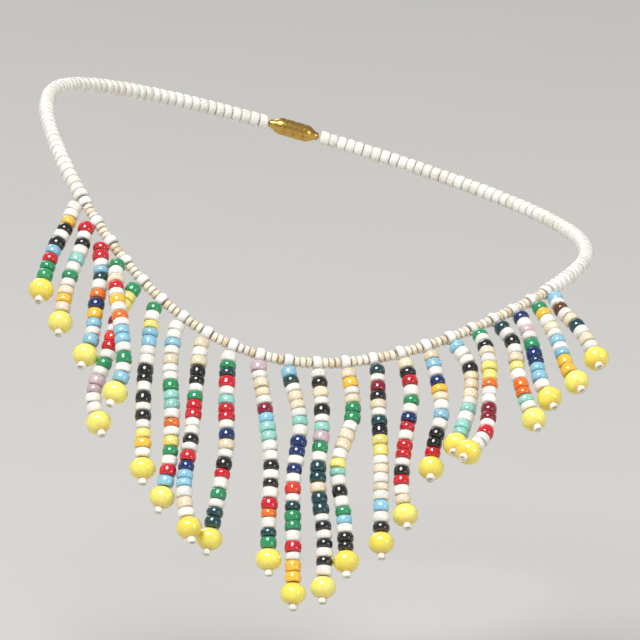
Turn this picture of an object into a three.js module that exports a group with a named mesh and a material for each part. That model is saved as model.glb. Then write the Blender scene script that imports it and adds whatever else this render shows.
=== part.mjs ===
// A bib necklace of glass seed beads: a loop round the neck that carries a fringe of
// beaded strings, each ending in a larger bead. It keeps the form that it takes when worn.
// Millimetres. +Z is up, the wearer faces -Y, and +X is the wearer's left.
// The origin is the middle of the neck, at the height where the loop crosses the nape.

import * as THREE from "three";

// The loop round the neck.
const neck = {
  halfWidth: 65,
  halfDepth: 64,
  throatDrop: 36.5, // how far the throat hangs below the nape
  throatSharpness: 3.9, // larger keeps the drop nearer the throat
  throatTurn: -4, // degrees round the loop from its front to the throat, minus to the right
  shoulders: 0.2, // how much the loop broadens from the throat to the nape
  lean: 16.5, // degrees by which the loop lies lower on the wearer's left
};

// Beads. A pitch is the room that a bead takes on its thread.
const seed = { radius: 1.95, valley: 1.45, pitch: 2.35, sides: 6 };
const baseBead = { radius: 1.3, valley: 0.95, pitch: 1.45, sides: 6 };
const topBead = { radius: 1.8, pitch: 2.4 }; // the white bead over each string
const endBead = { radius: 3.08, height: 4.8, bore: 0.8, sides: 8, rings: 5, roundness: 0.86 };
const stopBead = { radius: 1.05, rim: 0.65, height: 1.5 };
const threadRadius = 0.45;
const gap = 0.3; // between neighbouring solids

// The fringe.
const baseBeadsBetween = 3; // small beads between two top beads
const fringePitch = topBead.pitch + baseBeadsBetween * baseBead.pitch;
const fringeShift = 6.5; // the fringe's middle lies this far to the wearer's left
const sideSeeds = 58; // beads on each plain side strand
const slope = { middle: 56, sides: 16, lopsided: 5, curl: 5 }; // degrees below level
const leadOut = 2.4; // a string leaves the base strand square over this length

// One row for each string, from the wearer's right to left: how many seed beads it has, how
// far it drifts towards +X, and how far it lies above the chest. Drift and lift are
// millimetres at a quarter, half, three quarters and the whole of its length.
const strings = [
  { seeds: 10, drift: [-4, -7, -9, -10.5], lift: [0, 0, 0, 0] },
  { seeds: 11, drift: [-3.5, -6, -7.5, -8.5], lift: [0, 0, 0, 0] },
  { seeds: 12, drift: [-2, -3, -4, -7], lift: [0, 0, 0, 0] },
  { seeds: 15, drift: [-2, -0.5, 0, -4], lift: [3, 4.5, 4.5, 3.5] },
  { seeds: 15, drift: [-5.5, -8, -11, -8.5], lift: [0, 0, 0, 0] },
  { seeds: 17, drift: [-3, -4, -4, -4], lift: [0, 0, 0, 0] },
  { seeds: 18, drift: [-3, -2.5, -3, -5.5], lift: [0, 0, 0, 0] },
  { seeds: 20, drift: [-2.5, -3.5, -5, -3], lift: [0, 1, 2, 4] },
  { seeds: 19, drift: [-1.5, -1.5, -3.5, -6], lift: [0, 0, 0, 0] },
  { seeds: 20, drift: [1, 2.5, 2, 2], lift: [0, 0, 0, 0] },
  { seeds: 23, drift: [2.5, 1, 1, 1], lift: [0, 0, 0, 0] },
  { seeds: 22, drift: [1, 0, 1.5, 1], lift: [0, 0, 0, 0] },
  { seeds: 20, drift: [1.5, -2, -0.5, 0], lift: [0, 1, 1, 2] },
  { seeds: 18, drift: [1, 1.5, 1.5, 1.5], lift: [0, 0, 0, 0] },
  { seeds: 16, drift: [2.5, 1, 0, 1.5], lift: [0, 0, 0, 0] },
  { seeds: 12, drift: [2.5, 3.5, 1.5, 0.5], lift: [0, 0, 0, 0] },
  { seeds: 12, drift: [4.5, 4.5, 2.5, -0.5], lift: [0, 0.5, 2.5, 5] },
  { seeds: 16, drift: [3.5, 3.5, 2, -5], lift: [3, 4, 6, 10] },
  { seeds: 11, drift: [4.5, 5.5, 7.5, 10.5], lift: [0, 0, 0, 0] },
  { seeds: 10, drift: [3.5, 5, 6.5, 10], lift: [0, 0, 0, 0] },
  { seeds: 10, drift: [4, 6.5, 8.5, 12.5], lift: [0, 0, 0, 0] },
  { seeds: 9, drift: [3.5, 7.5, 10.5, 12.5], lift: [0, 0, 0, 0] },
];

// The base strand is three solids: how many of the spaces between strings each one covers.
const baseSections = [
  { name: "base_strand_right", spaces: 7 },
  { name: "base_strand_middle", spaces: 7 },
  { name: "base_strand_left", spaces: 7 },
];

// A straight barrel, so it stands a little further off the curving strands.
const clasp = { radius: 2.3, neck: 1.1, shoulder: 2, sides: 12, gap: 0.4 };

const glass = { roughness: 0.15, metalness: 0 };
const whiteGlass = { color: 0xf6f3ea, ...glass };
const creamGlass = { color: 0xe9d9bd, ...glass };
const yellowGlass = { color: 0xf4e25a, ...glass };
const brass = { color: 0xc9a24e, roughness: 0.3, metalness: 1 };

class NeckLoop extends THREE.Curve {
  getPoint(t, target = new THREE.Vector3()) {
    const turn = (2 * t - 1) * Math.PI; // 0 at the front
    const throatTurn = THREE.MathUtils.degToRad(neck.throatTurn);
    const nearThroat = (1 + Math.cos(turn - throatTurn)) / 2;
    return target
      .set(
        neck.halfWidth * Math.sin(turn) * (1 + neck.shoulders * (1 - nearThroat) ** 2),
        -neck.halfDepth * Math.cos(turn),
        -neck.throatDrop * nearThroat ** neck.throatSharpness,
      )
      .applyAxisAngle(new THREE.Vector3(0, 1, 0), THREE.MathUtils.degToRad(neck.lean));
  }
}

const loop = new NeckLoop();
loop.arcLengthDivisions = 2000;
const loopLength = loop.getLength();
const front = loopLength / 2;

const model = new THREE.Group();

function addPiece(name, geometry, look) {
  const piece = new THREE.Mesh(geometry, new THREE.MeshStandardMaterial(look));
  piece.name = name;
  model.add(piece);
  return piece;
}

// Profile points of beads in a row, each ringed by a ridge at its middle. It starts and ends
// at the valley between two beads, and each bead is { radius, valley, pitch }.
function beadProfile(beads) {
  const points = [new THREE.Vector2(beads[0].valley, 0)];
  let along = 0;
  for (const bead of beads) {
    points.push(new THREE.Vector2(bead.radius, along + bead.pitch / 2));
    along += bead.pitch;
    points.push(new THREE.Vector2(bead.valley, along));
  }
  return points;
}

function closedOnAxis(points) {
  const last = points[points.length - 1];
  return [new THREE.Vector2(0, points[0].y), ...points, new THREE.Vector2(0, last.y)];
}

// Bends a lathed solid, whose axis is Y, along a curve. Y becomes the distance along it,
// counted from start.
function bendAlong(geometry, curve, start) {
  const length = curve.getLength();
  const position = geometry.attributes.position;
  const vertex = new THREE.Vector3();
  const side = new THREE.Vector3();
  const face = new THREE.Vector3();
  const upright = new THREE.Vector3(0, 0, 1);
  for (let i = 0; i < position.count; i += 1) {
    vertex.fromBufferAttribute(position, i);
    const u = (start + vertex.y) / length;
    const along = curve.getTangentAt(u);
    side.crossVectors(upright, along).normalize();
    face.crossVectors(side, along);
    const point = curve.getPointAt(u);
    point.addScaledVector(side, vertex.x).addScaledVector(face, vertex.z);
    position.setXYZ(i, point.x, point.y, point.z);
  }
  return geometry;
}

function beadStrand(beads, sides, curve, start) {
  const profile = closedOnAxis(beadProfile(beads));
  return bendAlong(new THREE.LatheGeometry(profile, sides), curve, start);
}

// Where string number i hangs: its place along the loop.
function hangsAt(i) {
  return front + fringeShift + (i - (strings.length - 1) / 2) * fringePitch;
}

// A string's line over the chest, from the base strand's thread down to its end.
function stringRoute(row, i, length) {
  const u = hangsAt(i) / loopLength;
  const top = loop.getPointAt(u);
  const strand = loop.getTangentAt(u);
  const out = (2 * i) / (strings.length - 1) - 1; // -1 to 1 across the fringe
  const mean = slope.middle - slope.sides * out ** 2 - slope.lopsided * out * Math.abs(out);

  const points = [top];
  const spot = top.clone();
  const parts = row.drift.length;
  row.drift.forEach((drift, part) => {
    const angle = THREE.MathUtils.degToRad(mean + slope.curl * ((2 * part) / (parts - 1) - 1));
    const down = new THREE.Vector3(0, -Math.cos(angle), -Math.sin(angle));
    const offChest = new THREE.Vector3(0, -Math.sin(angle), Math.cos(angle));
    const lift = row.lift[part];
    const across = drift - (part ? row.drift[part - 1] : 0);
    const rise = lift - (part ? row.lift[part - 1] : 0);
    spot.addScaledVector(down, Math.sqrt((length / parts) ** 2 - across ** 2 - rise ** 2));
    const point = spot.clone().addScaledVector(offChest, lift);
    point.x += drift;
    points.push(point);
  });

  const heading = points[1].clone().sub(top).normalize();
  const square = heading.addScaledVector(strand, -heading.dot(strand)).normalize();
  points.splice(1, 0, top.clone().addScaledVector(square, leadOut));
  return new THREE.CatmullRomCurve3(points, false, "centripetal");
}

// A string of seed beads, with the thread that goes on through its end bead to the stop bead.
function addString(row, i) {
  const number = String(i + 1).padStart(2, "0");
  const start = topBead.radius + gap;
  const seedsEnd = row.seeds * seed.pitch;
  const stopStart = seedsEnd + endBead.height + 2 * gap;
  const stopEnd = stopStart + stopBead.height;
  const profile = [
    ...beadProfile(Array(row.seeds).fill(seed)),
    new THREE.Vector2(threadRadius, seedsEnd),
    new THREE.Vector2(threadRadius, stopStart),
    new THREE.Vector2(stopBead.rim, stopStart),
    new THREE.Vector2(stopBead.radius, stopStart + stopBead.height / 2),
    new THREE.Vector2(stopBead.rim, stopEnd),
  ];
  const route = stringRoute(row, i, start + stopEnd);
  const string = new THREE.LatheGeometry(closedOnAxis(profile), seed.sides);
  addPiece("fringe_string_" + number, bendAlong(string, route, start), whiteGlass);

  const bead = addPiece("end_bead_" + number, endBeadGeometry(), yellowGlass);
  const u = (start + seedsEnd + gap + endBead.height / 2) / route.getLength();
  bead.position.copy(route.getPointAt(u));
  bead.quaternion.setFromUnitVectors(new THREE.Vector3(0, 1, 0), route.getTangentAt(u));
}

// A flattened round bead with a bore, on the Y axis.
function endBeadGeometry() {
  const rimHeight = endBead.height / 2;
  const points = [new THREE.Vector2(endBead.bore, -rimHeight)];
  for (let ring = 0; ring < endBead.rings; ring += 1) {
    const share = (ring + 0.5) / endBead.rings - 0.5;
    const turn = share * Math.PI * endBead.roundness;
    points.push(
      new THREE.Vector2(endBead.radius * Math.cos(turn), rimHeight * Math.sin(turn)),
    );
  }
  points.push(new THREE.Vector2(endBead.bore, rimHeight));
  points.push(points[0].clone());
  return new THREE.LatheGeometry(points, endBead.sides);
}

// The base strand: a top bead over each string, small beads between them.
function addBaseStrand() {
  const top = { ...baseBead, ...topBead };
  let space = 0;
  baseSections.forEach((section, i) => {
    const beads = [];
    for (let n = 0; n < section.spaces; n += 1) {
      beads.push(top, ...Array(baseBeadsBetween).fill(baseBead));
    }
    if (i === baseSections.length - 1) beads.push(top);
    const start = hangsAt(space) - topBead.pitch / 2;
    const room = beads.reduce((sum, bead) => sum + bead.pitch, 0);
    const squeeze = i < baseSections.length - 1 ? (room - gap) / room : 1;
    const fitted = beads.map((bead) => ({ ...bead, pitch: bead.pitch * squeeze }));
    addPiece(section.name, beadStrand(fitted, baseBead.sides, loop, start), creamGlass);
    space += section.spaces;
  });
}

// The plain strands from the fringe to the clasp, and the clasp that closes the loop.
function addSidesAndClasp() {
  const strandLength = sideSeeds * seed.pitch;
  const rightEnd = hangsAt(0) - topBead.pitch / 2 - gap;
  const leftStart = hangsAt(strings.length - 1) + topBead.pitch / 2 + gap;
  const beads = Array(sideSeeds).fill(seed);
  const right = beadStrand(beads, seed.sides, loop, rightEnd - strandLength);
  const left = beadStrand(beads, seed.sides, loop, leftStart);
  addPiece("side_strand_right", right, whiteGlass);
  addPiece("side_strand_left", left, whiteGlass);

  // Both free ends are near the nape, where the loop's own ends meet.
  const rightGap = rightEnd - strandLength;
  const leftGap = loopLength - (leftStart + strandLength);
  const half = (rightGap + leftGap) / 2 - clasp.gap;
  const profile = closedOnAxis([
    new THREE.Vector2(clasp.neck, -half),
    new THREE.Vector2(clasp.radius, clasp.shoulder - half),
    new THREE.Vector2(clasp.radius, half - clasp.shoulder),
    new THREE.Vector2(clasp.neck, half),
  ]);
  const barrel = addPiece("clasp", new THREE.LatheGeometry(profile, clasp.sides), brass);
  const u = (rightGap - leftGap) / 2 / loopLength;
  const wrapped = u < 0 ? 1 + u : u;
  barrel.position.copy(loop.getPointAt(wrapped));
  const along = loop.getTangentAt(wrapped);
  barrel.quaternion.setFromUnitVectors(new THREE.Vector3(0, 1, 0), along);
}

addBaseStrand();
strings.forEach(addString);
addSidesAndClasp();

export default model;
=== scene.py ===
import math

import bmesh
import bpy
import numpy as np
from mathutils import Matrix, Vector


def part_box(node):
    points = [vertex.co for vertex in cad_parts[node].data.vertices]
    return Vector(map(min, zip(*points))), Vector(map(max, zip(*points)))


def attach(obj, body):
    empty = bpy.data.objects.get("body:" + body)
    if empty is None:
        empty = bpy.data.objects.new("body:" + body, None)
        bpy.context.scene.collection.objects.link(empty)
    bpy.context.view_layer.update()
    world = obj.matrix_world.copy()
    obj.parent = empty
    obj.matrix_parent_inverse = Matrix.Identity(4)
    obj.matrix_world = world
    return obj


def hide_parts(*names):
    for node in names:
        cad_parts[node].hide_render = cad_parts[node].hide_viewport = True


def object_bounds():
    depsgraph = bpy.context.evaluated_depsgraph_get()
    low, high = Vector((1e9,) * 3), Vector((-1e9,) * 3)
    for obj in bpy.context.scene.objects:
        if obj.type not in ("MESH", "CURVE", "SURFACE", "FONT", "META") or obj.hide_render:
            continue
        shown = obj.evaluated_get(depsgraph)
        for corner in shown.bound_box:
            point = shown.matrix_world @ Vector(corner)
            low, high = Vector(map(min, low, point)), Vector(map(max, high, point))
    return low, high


# A bib necklace of glass seed beads: a loop round the neck that carries a fringe of beaded
# strings, each ending in a yellow bead. All in metres; mm turns millimetres into metres.
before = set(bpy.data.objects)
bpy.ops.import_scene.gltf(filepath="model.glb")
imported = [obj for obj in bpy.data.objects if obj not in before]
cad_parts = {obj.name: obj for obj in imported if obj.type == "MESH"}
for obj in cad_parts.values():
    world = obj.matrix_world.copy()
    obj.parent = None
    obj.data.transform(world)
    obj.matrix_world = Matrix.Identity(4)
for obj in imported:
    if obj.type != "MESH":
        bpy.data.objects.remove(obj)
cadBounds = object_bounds()
mm = 0.001
chance = np.random.default_rng(27)
beadFill = 0.98 # how much of its place on the thread a bead fills
scene = bpy.context.scene
print("frame loaded,", len(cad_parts), "solids")


# Following the thread: every bead finds its place from the solids of the frame.
flatEnough = 0.99999 # faces whose normals agree this well lie in one plane


def ringsOf(nodeName, firstEnd):
    # Walks a strand from one flat end to the other, ring by ring, and gives the middle and
    # the radius of each ring. It starts at the flat end where firstEnd is least, and the
    # first and last ring are the middles of the flat ends.
    solid = bmesh.new()
    solid.from_mesh(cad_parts[nodeName].data)
    bmesh.ops.remove_doubles(solid, verts=solid.verts, dist=0.001 * mm)
    flatEnds = [
        v for v in solid.verts
        if all(f.normal.dot(v.link_faces[0].normal) > flatEnough for f in v.link_faces)
    ]
    ring = [min(flatEnds, key=firstEnd)]
    seen = set(ring)
    rings = []
    while ring:
        middle = sum((v.co for v in ring), Vector()) / len(ring)
        rings.append((np.array(middle), (ring[0].co - middle).length))
        nextRing = []
        for v in ring:
            for edge in v.link_edges:
                other = edge.other_vert(v)
                if other not in seen:
                    seen.add(other)
                    nextRing.append(other)
        ring = nextRing
    solid.free()
    return rings


class Thread:
    # A line through points, asked for a place or a direction at a distance along it.
    def __init__(self, points):
        self.points = np.array(points)
        steps = np.linalg.norm(np.diff(self.points, axis=0), axis=1)
        self.at = np.concatenate([[0], np.cumsum(steps)])
        self.length = self.at[-1]

    def place(self, distance):
        return np.array([np.interp(distance, self.at, self.points[:, k]) for k in range(3)])

    def direction(self, distance, reach=0.8 * mm):
        ahead = self.place(min(distance + reach, self.length))
        return unit(ahead - self.place(max(distance - reach, 0)))


def unit(vector):
    return np.array(vector) / np.linalg.norm(vector)


def squareTo(axis):
    # Two unit vectors square to the axis and to each other.
    upright = (0, 0, 1) if abs(axis[2]) < 0.9 else (1, 0, 0)
    sideways = unit(np.cross(upright, axis))
    return sideways, np.cross(axis, sideways)


# Meshes

def makePiece(name, vertices, faces, material):
    mesh = bpy.data.meshes.new(name)
    mesh.from_pydata([tuple(v) for v in vertices], [], faces)
    mesh.shade_smooth()
    mesh.materials.append(material)
    piece = bpy.data.objects.new(name, mesh)
    scene.collection.objects.link(piece)
    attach(piece, "root")
    return piece


def gridFaces(around, rows, start=0, closed=True):
    # Quads over rows of points; closed joins the last row to the first.
    faces = []
    for row in range(rows if closed else rows - 1):
        here = start + row * around
        there = start + (row + 1) % rows * around
        for i in range(around):
            j = (i + 1) % around
            faces.append((here + i, here + j, there + j, there + i))
    return faces


class BeadBatch:
    # Beads gathered into one mesh. Each bead brings its own glass colour and its own
    # stretch of the glass pattern, so that no two look alike.
    def __init__(self, wobble):
        self.wobble = wobble
        self.vertices, self.colours, self.inGlass, self.faces = [], [], [], []
        self.count = 0

    def add(self, section, centre, axis, colour, sides):
        # section: points (from the hole's axis, along it) round one side of the bead
        wobble = {key: size * chance.uniform(-1, 1) for key, size in self.wobble.items()}
        lean = math.radians(self.wobble["tilt"]) * chance.uniform(-1, 1, 3)
        axis = unit(unit(axis) + lean)
        sideways, ahead = squareTo(axis)
        turns = np.linspace(0, 2 * math.pi, sides, endpoint=False) + chance.uniform(0, 6)
        r = section[:, :1] * (1 + wobble["size"])
        x = r * np.cos(turns) * (1 + wobble["oval"])
        y = r * np.sin(turns) * (1 - wobble["oval"])
        z = section[:, 1:] * (1 + wobble["wedge"] * x / r.max())
        local = np.stack([x, y, z], axis=2).reshape(-1, 3)
        tone = np.clip(np.array(colour) * (1 + wobble["tone"]), 0, 1)
        # how near each point is to an end of its bead; the glass materials paint shade and raise
        # roughness by it
        endness = (section[:, 1] / section[:, 1].max()) ** 2
        look = np.empty((len(section), sides, 4))
        look[:, :, :3] = tone
        look[:, :, 3] = endness[:, None]
        self.faces += gridFaces(sides, len(section), self.count)
        self.vertices.append(centre + local @ np.array([sideways, ahead, axis]))
        self.colours.append(look.reshape(-1, 4))
        self.inGlass.append(local / mm + chance.uniform(-50, 50, 3))
        self.count += len(local)

    def finish(self, name, material):
        vertices = np.concatenate(self.vertices)
        piece = makePiece(name, vertices, self.faces, material)
        attributes = piece.data.attributes
        colour = attributes.new("glassColour", "FLOAT_COLOR", "POINT")
        colour.data.foreach_set("color", np.concatenate(self.colours).ravel())
        inGlass = attributes.new("inGlass", "FLOAT_VECTOR", "POINT")
        inGlass.data.foreach_set("vector", np.concatenate(self.inGlass).ravel())
        return piece


def roundSection(radius, hole, length, squareness, points=16):
    # A doughnut bead's section on one side of its hole.
    wall = (radius - hole) / 2
    turns = np.linspace(0, 2 * math.pi, points, endpoint=False)
    power = 2 / squareness
    out = np.sign(np.cos(turns)) * np.abs(np.cos(turns)) ** power
    up = np.sign(np.sin(turns)) * np.abs(np.sin(turns)) ** power
    return np.stack([hole + wall + wall * out, up * length / 2], axis=1)


def ballSection(radius, hole, height, points=18, holePoints=5):
    # A flattened ball's section: over its crown from rim to rim, then back up the hole,
    # which is a little narrower inside than at its rims.
    rim = math.acos(hole / radius)
    turns = np.linspace(-rim, rim, points)
    crown = np.stack([radius * np.cos(turns), height / 2 * np.sin(turns) / math.sin(rim)], axis=1)
    inside = np.full(holePoints, hole * 0.82)
    back = np.linspace(0.93, -0.93, holePoints) * height / 2
    return np.concatenate([crown, np.stack([inside, back], axis=1)])


def tubeAlong(points, radius, sides=8):
    # A round tube through the points, closed at both ends.
    points = np.array(points)
    turns = np.linspace(0, 2 * math.pi, sides, endpoint=False)
    tangents = [unit(t) for t in np.gradient(points, axis=0)]
    sideways = squareTo(tangents[0])[0]
    rows = []
    for point, tangent in zip(points, tangents):
        sideways = unit(sideways - np.dot(sideways, tangent) * tangent)
        ahead = np.cross(tangent, sideways)
        ring = np.outer(np.cos(turns), sideways) + np.outer(np.sin(turns), ahead)
        rows.append(point + radius * ring)
    faces = gridFaces(sides, len(points), closed=False)
    last = sides * (len(points) - 1)
    faces.append(tuple(reversed(range(sides))))
    faces.append(tuple(range(last, last + sides)))
    return np.concatenate(rows), faces


def joinTubes(name, tubes, material):
    vertices, faces, count = [], [], 0
    for tubeVertices, tubeFaces in tubes:
        vertices.append(tubeVertices)
        faces += [tuple(i + count for i in face) for face in tubeFaces]
        count += len(tubeVertices)
    return makePiece(name, np.concatenate(vertices), faces, material)


# Materials

def linear(hexColour):
    # "F2EFE6" as Blender's linear red, green and blue
    parts = [int(hexColour[i:i + 2], 16) / 255 for i in (0, 2, 4)]
    return [p / 12.92 if p <= 0.04045 else ((p + 0.055) / 1.055) ** 2.4 for p in parts]


class Nodes:
    # A material's node tree with its Principled shader, and short calls for what it needs.
    def __init__(self, name):
        self.material = bpy.data.materials.new(name)
        self.material.use_nodes = True
        self.tree = self.material.node_tree
        self.shader = self.tree.nodes["Principled BSDF"]

    def add(self, kind, **settings):
        node = self.tree.nodes.new("ShaderNode" + kind)
        for key, value in settings.items():
            setattr(node, key, value)
        return node

    def join(self, output, target):
        self.tree.links.new(output, target)

    def attribute(self, name):
        return self.add("Attribute", attribute_name=name)

    def stretched(self, vector, scale):
        mapping = self.add("Mapping")
        mapping.inputs["Scale"].default_value = scale
        self.join(vector, mapping.inputs["Vector"])
        return mapping.outputs["Vector"]

    def noise(self, vector, scale, detail=2):
        node = self.add("TexNoise")
        node.inputs["Scale"].default_value = scale
        node.inputs["Detail"].default_value = detail
        self.join(vector, node.inputs["Vector"])
        return node.outputs["Fac"]

    def spread(self, value, low, high, fromLow=0.3, fromHigh=0.7):
        node = self.add("MapRange")
        node.inputs["From Min"].default_value = fromLow
        node.inputs["From Max"].default_value = fromHigh
        node.inputs["To Min"].default_value = low
        node.inputs["To Max"].default_value = high
        self.join(value, node.inputs["Value"])
        return node.outputs["Result"]

    def times(self, a, b):
        node = self.add("Math", operation="MULTIPLY")
        self.join(a, node.inputs[0])
        self.join(b, node.inputs[1])
        return node.outputs[0]

    def plus(self, a, b):
        node = self.add("Math", operation="ADD")
        self.join(a, node.inputs[0])
        self.join(b, node.inputs[1])
        return node.outputs[0]

    def shade(self, colour, amount):
        # a colour, given as hex or as an output, times a grey amount
        node = self.add("VectorMath", operation="SCALE")
        if isinstance(colour, str):
            node.inputs[0].default_value = linear(colour)
        else:
            self.join(colour, node.inputs[0])
        self.join(amount, node.inputs["Scale"])
        return node.outputs[0]

    def blendTo(self, factor, colour, other):
        node = self.add("Mix", data_type="RGBA")
        self.join(factor, node.inputs[0])
        self.join(colour, node.inputs[6])
        node.inputs[7].default_value = (*linear(other), 1)
        return node.outputs[2]

    def bump(self, height, strength, distance):
        node = self.add("Bump")
        node.inputs["Strength"].default_value = strength
        node.inputs["Distance"].default_value = distance
        self.join(height, node.inputs["Height"])
        self.join(node.outputs["Normal"], self.shader.inputs["Normal"])


def beadGlass(name, look):
    # Pressed glass: the bead's own colour, clouded, drawn into faint lines along the hole, rougher
    # at the cut ends and darkened there with painted shade, where the beads meet and the hole
    # opens.
    # The colour's alpha says how near a point is to an end.
    nodes = Nodes(name)
    colour = nodes.attribute("glassColour")
    place = nodes.attribute("inGlass").outputs["Vector"]
    cloud = nodes.spread(nodes.noise(place, look["cloudScale"]), *look["cloud"])
    lines = nodes.noise(nodes.stretched(place, (1, 1, 0.12)), look["lineScale"])
    drawn = nodes.spread(lines, *look["lines"])
    shaded = nodes.shade(colour.outputs["Color"], nodes.times(cloud, drawn))
    # painted shade: towards the bead's ends the colour is mixed with a darker colour, standing in
    # for the shade where beads meet and inside the hole
    endShading = nodes.spread(colour.outputs["Alpha"], 0, look["endShade"], 0.5, 1)
    nodes.join(nodes.blendTo(endShading, shaded, look["endShadeColour"]), nodes.shader.inputs["Base Color"])
    pits = nodes.noise(place, look["pitScale"], 4)
    gloss = nodes.spread(pits, *look["roughness"])
    ends = nodes.spread(colour.outputs["Alpha"], 0, look["endRoughness"], 0.6, 1)
    nodes.join(nodes.plus(gloss, ends), nodes.shader.inputs["Roughness"])
    nodes.bump(pits, look["pitDepth"], 0.04 * mm)
    nodes.shader.inputs["IOR"].default_value = 1.52
    nodes.shader.inputs["Coat Weight"].default_value = look["coat"]
    nodes.shader.inputs["Coat Roughness"].default_value = 0.04
    nodes.shader.inputs["Subsurface Weight"].default_value = look["depth"]
    nodes.shader.inputs["Subsurface Radius"].default_value = look["depthColour"]
    nodes.shader.inputs["Subsurface Scale"].default_value = 0.6 * mm
    return nodes.material


seedLook = {
    "cloudScale": 0.5, "cloud": (0.9, 1.06),
    "lineScale": 2.6, "lines": (0.94, 1.03),
    # painted shade: the first two values below darken each bead towards its ends, where the beads
    # meet, by this much and towards this colour
    "endShade": 0.22, "endShadeColour": "6B5A45",
    "pitScale": 3.5, "pitDepth": 0.1,
    "roughness": (0.07, 0.14), "endRoughness": 0.2,
    "coat": 1, "depth": 0.12, "depthColour": (1, 0.9, 0.8),
}
seedGlass = beadGlass("seedGlass", seedLook)
whiteGlass = beadGlass("whiteGlass", {**seedLook, "cloud": (0.93, 1.03), "depth": 0.25})
creamGlass = beadGlass("creamGlass", {
    # painted shade: the cream beads of the base strand are darkened more strongly, to brown,
    # towards their ends, standing in for the shade between them
    **seedLook, "cloud": (0.88, 1.06), "endShade": 0.55, "endShadeColour": "7E5A38", "depth": 0.3,
    "depthColour": (1, 0.75, 0.5),
})
yellowGlass = beadGlass("yellowGlass", {
    **seedLook, "cloudScale": 0.3, "cloud": (0.93, 1.04), "lines": (0.97, 1.02),
    # painted shade: the yellow end beads turn a deeper orange towards the rims of their hole
    "endShade": 0.4, "endShadeColour": "F0A81C", "roughness": (0.08, 0.16), "depth": 0.45,
    "depthColour": (1, 0.7, 0.2),
})


def threadMaterial():
    nodes = Nodes("waxedThread")
    place = nodes.add("TexCoord").outputs["Object"]
    twist = nodes.noise(nodes.stretched(place, (2600, 2600, 2600)), 1.0, 3)
    tone = nodes.shade("E8DDC6", nodes.spread(twist, 0.75, 1.05))
    nodes.join(tone, nodes.shader.inputs["Base Color"])
    nodes.join(nodes.spread(twist, 0.45, 0.65), nodes.shader.inputs["Roughness"])
    nodes.bump(twist, 0.5, 0.05 * mm)
    return nodes.material


def brassMaterial():
    nodes = Nodes("polishedBrass")
    place = nodes.add("TexCoord").outputs["Object"]
    worn = nodes.noise(place, 900, 4)
    scratches = nodes.noise(nodes.stretched(place, (400, 6000, 6000)), 1.0, 2)
    tone = nodes.shade("D9B25F", nodes.spread(worn, 0.86, 1.04))
    nodes.join(tone, nodes.shader.inputs["Base Color"])
    nodes.join(nodes.spread(scratches, 0.2, 0.34), nodes.shader.inputs["Roughness"])
    nodes.bump(scratches, 0.15, 0.02 * mm)
    nodes.shader.inputs["Metallic"].default_value = 1
    return nodes.material


waxedThread = threadMaterial()
polishedBrass = brassMaterial()
print("materials made")


# The base strand, which the fringe hangs from: a white bead over each string, small cream
# beads between them.
baseStrand = {
    "sections": ("base_strand_right", "base_strand_middle", "base_strand_left"),
    "whiteFrom": 1.45 * mm, # a ring wider than this is a white bead
    "hole": 0.38 * mm, "sides": 22, "squareness": 2.0, "points": 14,
    "white": "FBFAF5",
    "creams": ("F2E8D2", "EADCC0", "F6EFE0", "E2CFAB"),
    "wobble": {"tilt": 4, "size": 0.03, "oval": 0.02, "wedge": 0.06, "tone": 0.06},
}


def beadsOnRings(rings):
    # The bead ridges of a strand: (number of the ring, middle, radius).
    ridges = []
    for i in range(2, len(rings) - 2):
        middle, radius = rings[i]
        if radius > rings[i - 1][1] and radius > rings[i + 1][1]:
            ridges.append((i, middle, radius))
    return ridges


def makeBaseStrand(look):
    topBeads = []
    points = []
    for number, nodeName in enumerate(look["sections"]):
        rings = ringsOf(nodeName, lambda v: v.co.x)
        points += [middle for middle, _ in rings[1:-1]]
        batch = BeadBatch(look["wobble"])
        for i, middle, radius in beadsOnRings(rings):
            before, after = rings[i - 1][0], rings[i + 1][0]
            length = np.linalg.norm(after - before)
            isWhite = radius > look["whiteFrom"]
            section = roundSection(
                radius, look["hole"], length * beadFill, look["squareness"], look["points"])
            cream = look["creams"][chance.integers(len(look["creams"]))]
            colour = linear(look["white"] if isWhite else cream)
            batch.add(section, middle, after - before, colour, look["sides"])
            if isWhite:
                topBeads.append((middle, unit(after - before), length))
        piece = batch.finish("base_beads_" + str(number + 1), creamGlass)
        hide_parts(nodeName)
    return topBeads, points


topBeads, baseThread = makeBaseStrand(baseStrand)
print("base strand made,", len(topBeads), "white beads")


# The fringe. A letter stands for a glass colour, and share is how often it is picked.
glassColours = {
    "w": {"hex": "F3F0E8", "share": 0},
    "c": {"hex": "EDDDBD", "share": 8},
    "k": {"hex": "121317", "share": 14},
    "r": {"hex": "D01026", "share": 9},
    "s": {"hex": "EE3A1E", "share": 2},
    "m": {"hex": "8C0F2C", "share": 4},
    "o": {"hex": "F5761A", "share": 2},
    "y": {"hex": "FAC43A", "share": 6},
    "l": {"hex": "F8E97E", "share": 4},
    "g": {"hex": "24955E", "share": 7},
    "a": {"hex": "98D8CA", "share": 4},
    "b": {"hex": "8FC9E2", "share": 5},
    "n": {"hex": "0B2C68", "share": 6},
    "t": {"hex": "0B4247", "share": 5},
    "p": {"hex": "CFB6BE", "share": 1},
    "u": {"hex": "6E3A20", "share": 1},
}
fringe = {
    "strings": 22,
    # how often a white follows a colour, a second white the first, and a colour its like
    "whiteAfterColour": 0.56, "whiteAfterWhite": 0.12, "pair": 0.13,
    "hole": 0.55 * mm, "radius": 1.95 * mm, "sides": 26,
    "lengthSpread": 0.2, "squareness": (2.0, 3.0),
    "tighten": 0.14 * mm, # the seeds are pushed this much nearer to the end bead
    "wobble": {"tilt": 3, "size": 0.045, "oval": 0.02, "wedge": 0.05, "tone": 0.08},
}
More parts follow.
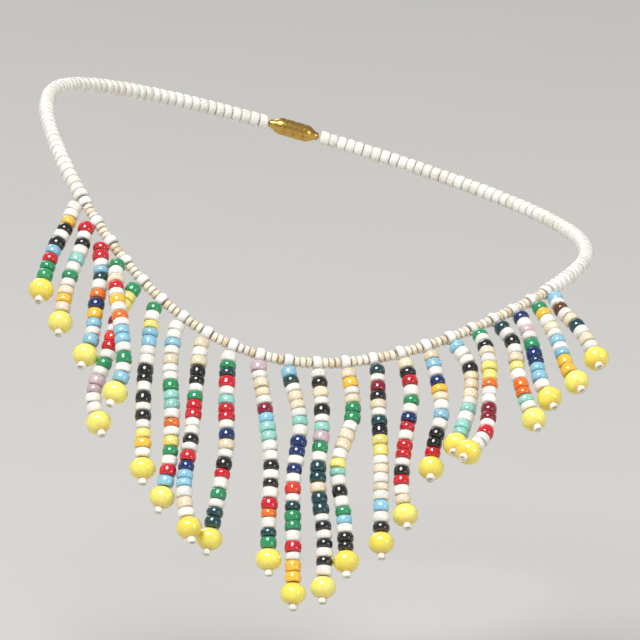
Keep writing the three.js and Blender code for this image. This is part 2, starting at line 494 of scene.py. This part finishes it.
endBead = {
    "radius": 3.05 * mm, "hole": 0.75 * mm, "sides": 44, "clearance": 0.28 * mm,
    # how far the end beads tip forward, by their place from the wearer's right to the left
    "tipAt": (-47 * mm, -41 * mm, 15 * mm, 25 * mm), "tip": (0.35, 0, 0, 0.75),
    "colours": ("FCEC68", "FBE85F", "FDF17C"),
    "wobble": {"tilt": 1.5, "size": 0.01, "oval": 0.012, "wedge": 0, "tone": 0.03},
}
stopBead = {
    "radius": 1.02 * mm, "hole": 0.34 * mm, "sides": 18, "squareness": 2.4, "points": 12,
    "colour": "FAF5E6",
    "nestle": 0.26 * mm, # how far it is drawn up into the mouth of the end bead
}
thread = {
    "radius": 0.24 * mm, "step": 0.8 * mm,
    # the parts of the thread that go up to the base strand and round the stop bead: how
    # thick they are against the rest, and how many sides and steps their tubes have
    "leg": {"thickness": 0.8, "sides": 6, "steps": 4},
    "turn": {"thickness": 0.45, "sides": 6, "steps": 5},
}


def pickColours(count, look):
    # Strings beads in a loose mix: white often comes between colours, and some pair up.
    letters = [letter for letter in glassColours if glassColours[letter]["share"]]
    shares = np.array([glassColours[letter]["share"] for letter in letters], float)
    run = ["w"]
    while len(run) <= count:
        last, roll = run[-1], chance.random()
        if last == "w" and roll < look["whiteAfterWhite"]:
            run.append("w")
        elif last != "w" and last != run[-2] and roll < look["pair"]:
            run.append(last)
        elif last != "w" and roll < look["pair"] + look["whiteAfterColour"]:
            run.append("w")
        else:
            run.append(letters[chance.choice(len(letters), p=shares / shares.sum())])
    return run[1:] # the first white is the bead on the base strand


def makeFringe(look):
    # A seed makes two rings of its string's solid, a ridge and a groove. Eight rings are
    # left over: the middles of the flat ends, one more groove, the two rims of the end bead
    # and three of the stop bead.
    tubes = []
    for i in range(look["strings"]):
        number = "%02d" % (i + 1)
        nodeName = "fringe_string_" + number
        rings = ringsOf(nodeName, lambda v: -v.co.z)
        seeds = (len(rings) - 8) // 2
        line = Thread([middle for middle, _ in rings[1:-1]])
        seedsEnd = line.at[2 * seeds] + look["tighten"]
        lengths = 1 + look["lengthSpread"] * chance.uniform(-1, 1, seeds)
        edges = np.concatenate([[0], np.cumsum(lengths)]) / lengths.sum() * seedsEnd

        batch = BeadBatch(look["wobble"])
        for letter, low, high in zip(pickColours(seeds, look), edges, edges[1:]):
            squareness = chance.uniform(*look["squareness"])
            length = (high - low) * beadFill
            section = roundSection(look["radius"], look["hole"], length, squareness)
            middle = (low + high) / 2
            colour = linear(glassColours[letter]["hex"])
            batch.add(section, line.place(middle), line.direction(middle), colour, look["sides"])

        above, below = line.points[2 * seeds + 1], line.points[2 * seeds + 2]
        centre = (above + below) / 2
        axis = tippedForward(centre, unit(below - above))
        stopLength = line.at[-1] - line.at[-3]
        toStop = line.length - stopLength / 2 - stopBead["nestle"] - np.mean(line.at[-5:-3])
        stop = {"middle": centre + axis * toStop, "axis": axis, "half": stopLength / 2}
        stopSection = roundSection(
            stopBead["radius"], stopBead["hole"], stopLength,
            stopBead["squareness"], stopBead["points"])
        batch.add(stopSection, stop["middle"], axis, linear(stopBead["colour"]), stopBead["sides"])
        piece = batch.finish("seeds_" + number, seedGlass)
        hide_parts(nodeName)

        height = np.linalg.norm(below - above) - endBead["clearance"]
        makeEndBead(number, centre, axis, height)
        down = [line.place(d) for d in np.arange(0, line.at[2 * seeds], thread["step"])]
        down += [centre - axis * height / 2, centre, centre + axis * height / 2]
        tubes.append(tubeAlong([*down, stop["middle"] + axis * stop["half"]], thread["radius"]))
        tubes += threadEnds(line, topBeads[i], stop)
    return tubes


def tippedForward(centre, axis):
    # The axis of an end bead, leaned towards the front by its place across the fringe.
    tip = np.interp(centre[0], endBead["tipAt"], endBead["tip"])
    return unit(axis + np.array([0, -tip, 0]))


def makeEndBead(number, centre, axis, height):
    section = ballSection(endBead["radius"], endBead["hole"], height)
    batch = BeadBatch(endBead["wobble"])
    colour = linear(endBead["colours"][chance.integers(len(endBead["colours"]))])
    batch.add(section, centre, axis, colour, endBead["sides"])
    piece = batch.finish("yellow_bead_" + number, yellowGlass)
    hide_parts("end_bead_" + number)


def threadEnds(line, topBead, stop):
    # At the top the thread's two ends go up on either side of the white bead. At the bottom
    # it turns round the stop bead and goes back up.
    middle, along, length = topBead
    leg, turn = thread["leg"], thread["turn"]
    tubes = []
    hang = unit(line.points[0] - middle)
    for side in (-1, 1):
        groove = middle + side * along * length / 2
        legPoints = [
            line.place(1.2 * mm), line.points[0] + side * along * 0.12 * mm,
            groove + hang * 1.05 * mm, groove + hang * 0.5 * mm, groove - hang * 0.1 * mm,
        ]
        legLine = smoothLine(legPoints, leg["steps"])
        tubes.append(tubeAlong(legLine, thread["radius"] * leg["thickness"], leg["sides"]))
    axis, half = stop["axis"], stop["half"]
    aside = squareTo(axis)[0]
    # (down along the axis, out from it in mm)
    places = (
        (-half * 0.6, 0), (half * 0.9, 0), (half + 0.06 * mm, 0.42), (half * 0.82, 0.86),
        (0, 1.08), (-half * 0.82, 0.86), (-half - 0.25 * mm, 0.2),
    )
    aroundStop = [stop["middle"] + axis * down + aside * out * mm for down, out in places]
    turnLine = smoothLine(aroundStop, turn["steps"])
    tubes.append(tubeAlong(turnLine, thread["radius"] * turn["thickness"], turn["sides"]))
    return tubes


def smoothLine(points, steps):
    # A Catmull-Rom line through the points.
    points = [np.array(p) for p in points]
    points = [2 * points[0] - points[1], *points, 2 * points[-1] - points[-2]]
    line = []
    for a, b, c, d in zip(points, points[1:], points[2:], points[3:]):
        for t in np.arange(steps) / steps:
            line.append(0.5 * (2 * b + (c - a) * t + (2 * a - 5 * b + 4 * c - d) * t * t
                               + (3 * b - a - 3 * c + d) * t ** 3))
    return line + [points[-2]]


tubes = makeFringe(fringe)
tubes.append(tubeAlong(baseThread, thread["radius"]))
print("fringe made")


# The plain strands up to the clasp.
sideStrand = {
    "white": ("F3F0E8", "EFEBE0", "F6F4EE"),
    "lengthSpread": 0.08, "squareness": (2.2, 3.0),
    "wobble": {"tilt": 3, "size": 0.025, "oval": 0.015, "wedge": 0.05, "tone": 0.03},
}


def makeSideStrand(side):
    # Here three rings are left over: the middles of the flat ends and one more groove.
    rings = ringsOf("side_strand_" + side, lambda v: v.co.y)
    line = Thread([middle for middle, _ in rings[1:-1]])
    seeds = (len(rings) - 3) // 2
    lengths = 1 + sideStrand["lengthSpread"] * chance.uniform(-1, 1, seeds)
    edges = np.concatenate([[0], np.cumsum(lengths)]) / lengths.sum() * line.length
    batch = BeadBatch(sideStrand["wobble"])
    for low, high in zip(edges, edges[1:]):
        middle = (low + high) / 2
        squareness = chance.uniform(*sideStrand["squareness"])
        length = (high - low) * beadFill
        section = roundSection(fringe["radius"], fringe["hole"], length, squareness)
        white = linear(sideStrand["white"][chance.integers(len(sideStrand["white"]))])
        batch.add(section, line.place(middle), line.direction(middle), white, fringe["sides"])
    piece = batch.finish("side_beads_" + side, whiteGlass)
    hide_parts("side_strand_" + side)
    return line


sides = {side: makeSideStrand(side) for side in ("right", "left")}
print("side strands made")


# A barrel clasp, closed, at the nape.
clasp = {
    "sides": 64, "clearance": 0.45 * mm, "sharpAngle": 32,
    # (radius in mm, place along the half length) from end to middle
    "half": (
        (0.35, 1.0), (0.8, 1.0), (1.0, 0.97), (1.06, 0.9), (1.3, 0.8), (1.85, 0.68),
        (2.12, 0.58), (2.2, 0.48), (2.2, 0.4), (2.08, 0.385), (2.08, 0.37), (2.2, 0.355),
        (2.2, 0.03), (2.05, 0.015),
    ),
}


def makeClasp(look):
    right, left = sides["right"].points[-1], sides["left"].points[-1]
    axis = unit(left - right)
    low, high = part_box("clasp")
    half = np.linalg.norm(left - right) / 2 - look["clearance"]
    shape = [(r, -z) for r, z in look["half"]] + [(r, z) for r, z in reversed(look["half"])]
    section = np.array([(r * mm, z * half) for r, z in shape])
    batch = BeadBatch({"tilt": 0, "size": 0, "oval": 0, "wedge": 0, "tone": 0})
    batch.add(section, np.array((low + high) / 2), axis, (1, 1, 1), look["sides"])
    piece = batch.finish("barrel_clasp", polishedBrass)
    piece.data.set_sharp_from_angle(angle=math.radians(look["sharpAngle"]))
    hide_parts("clasp")


makeClasp(clasp)
for side, line in sides.items():
    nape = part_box("clasp")
    toClasp = np.array((nape[0] + nape[1]) / 2)
    run = [line.place(d) for d in np.arange(0, line.length, 2 * thread["step"])]
    tubes.append(tubeAlong([*run, line.points[-1], toClasp], thread["radius"]))
joinTubes("threads", tubes, waxedThread)
print("clasp and threads made")


# Floor, light and camera.
studio = {"floorBelow": 30 * mm, "floorRadius": 9, "floor": "C4C2BE", "world": 0.34}
lights = {
    "overhead": {"at": (-0.75, -1.9, 3.4), "size": 2.2, "power": 155},
    "rightFill": {"at": (3.0, -2.4, 1.1), "size": 1.6, "power": 22},
    "back": {"at": (-1.6, 3.4, 2.9), "size": 2.4, "power": 45},
}
cameraLook = {"elevation": 9.6, "distance": 1.289, "width": 0.1546, "sensor": 36}


def makeFloor():
    floorMesh = bmesh.new()
    bmesh.ops.create_grid(floorMesh, x_segments=24, y_segments=24, size=studio["floorRadius"])
    mesh = bpy.data.meshes.new("studioFloor")
    floorMesh.to_mesh(mesh)
    floorMesh.free()
    floor = bpy.data.objects.new("studioFloor", mesh)
    floor.location.z = cadBounds[0][2] - studio["floorBelow"]
    scene.collection.objects.link(floor)
    nodes = Nodes("paleFloor")
    place = nodes.add("TexCoord").outputs["Object"]
    tone = nodes.shade(studio["floor"], nodes.spread(nodes.noise(place, 6), 0.985, 1.0))
    nodes.join(tone, nodes.shader.inputs["Base Color"])
    nodes.shader.inputs["Roughness"].default_value = 0.75
    mesh.materials.append(nodes.material)


def makeLights(target):
    for name, look in lights.items():
        lamp = bpy.data.lights.new(name, "AREA")
        lamp.shape = "DISK"
        lamp.size = look["size"]
        lamp.energy = look["power"]
        holder = bpy.data.objects.new(name, lamp)
        holder.location = target + Vector(look["at"])
        holder.rotation_euler = (-Vector(look["at"])).to_track_quat("-Z", "Y").to_euler()
        scene.collection.objects.link(holder)
    world = bpy.data.worlds.new("studioWorld")
    world.use_nodes = True
    world.node_tree.nodes["Background"].inputs["Color"].default_value = (1, 1, 1, 1)
    world.node_tree.nodes["Background"].inputs["Strength"].default_value = studio["world"]
    scene.world = world


def makeCamera(target):
    rise = math.radians(cameraLook["elevation"])
    away = Vector((0, -math.cos(rise), math.sin(rise))) * cameraLook["distance"]
    lens = bpy.data.cameras.new("studioCamera")
    lens.sensor_width = cameraLook["sensor"]
    lens.lens = cameraLook["sensor"] * cameraLook["distance"] / cameraLook["width"]
    camera = bpy.data.objects.new("studioCamera", lens)
    camera.location = target + away
    camera.rotation_euler = (-away).to_track_quat("-Z", "Y").to_euler()
    scene.collection.objects.link(camera)
    scene.camera = camera


middle = (Vector(cadBounds[0]) + Vector(cadBounds[1])) / 2
makeFloor()
makeLights(middle)
makeCamera(middle)
scene.view_settings.view_transform = "Standard"
print("studio made")
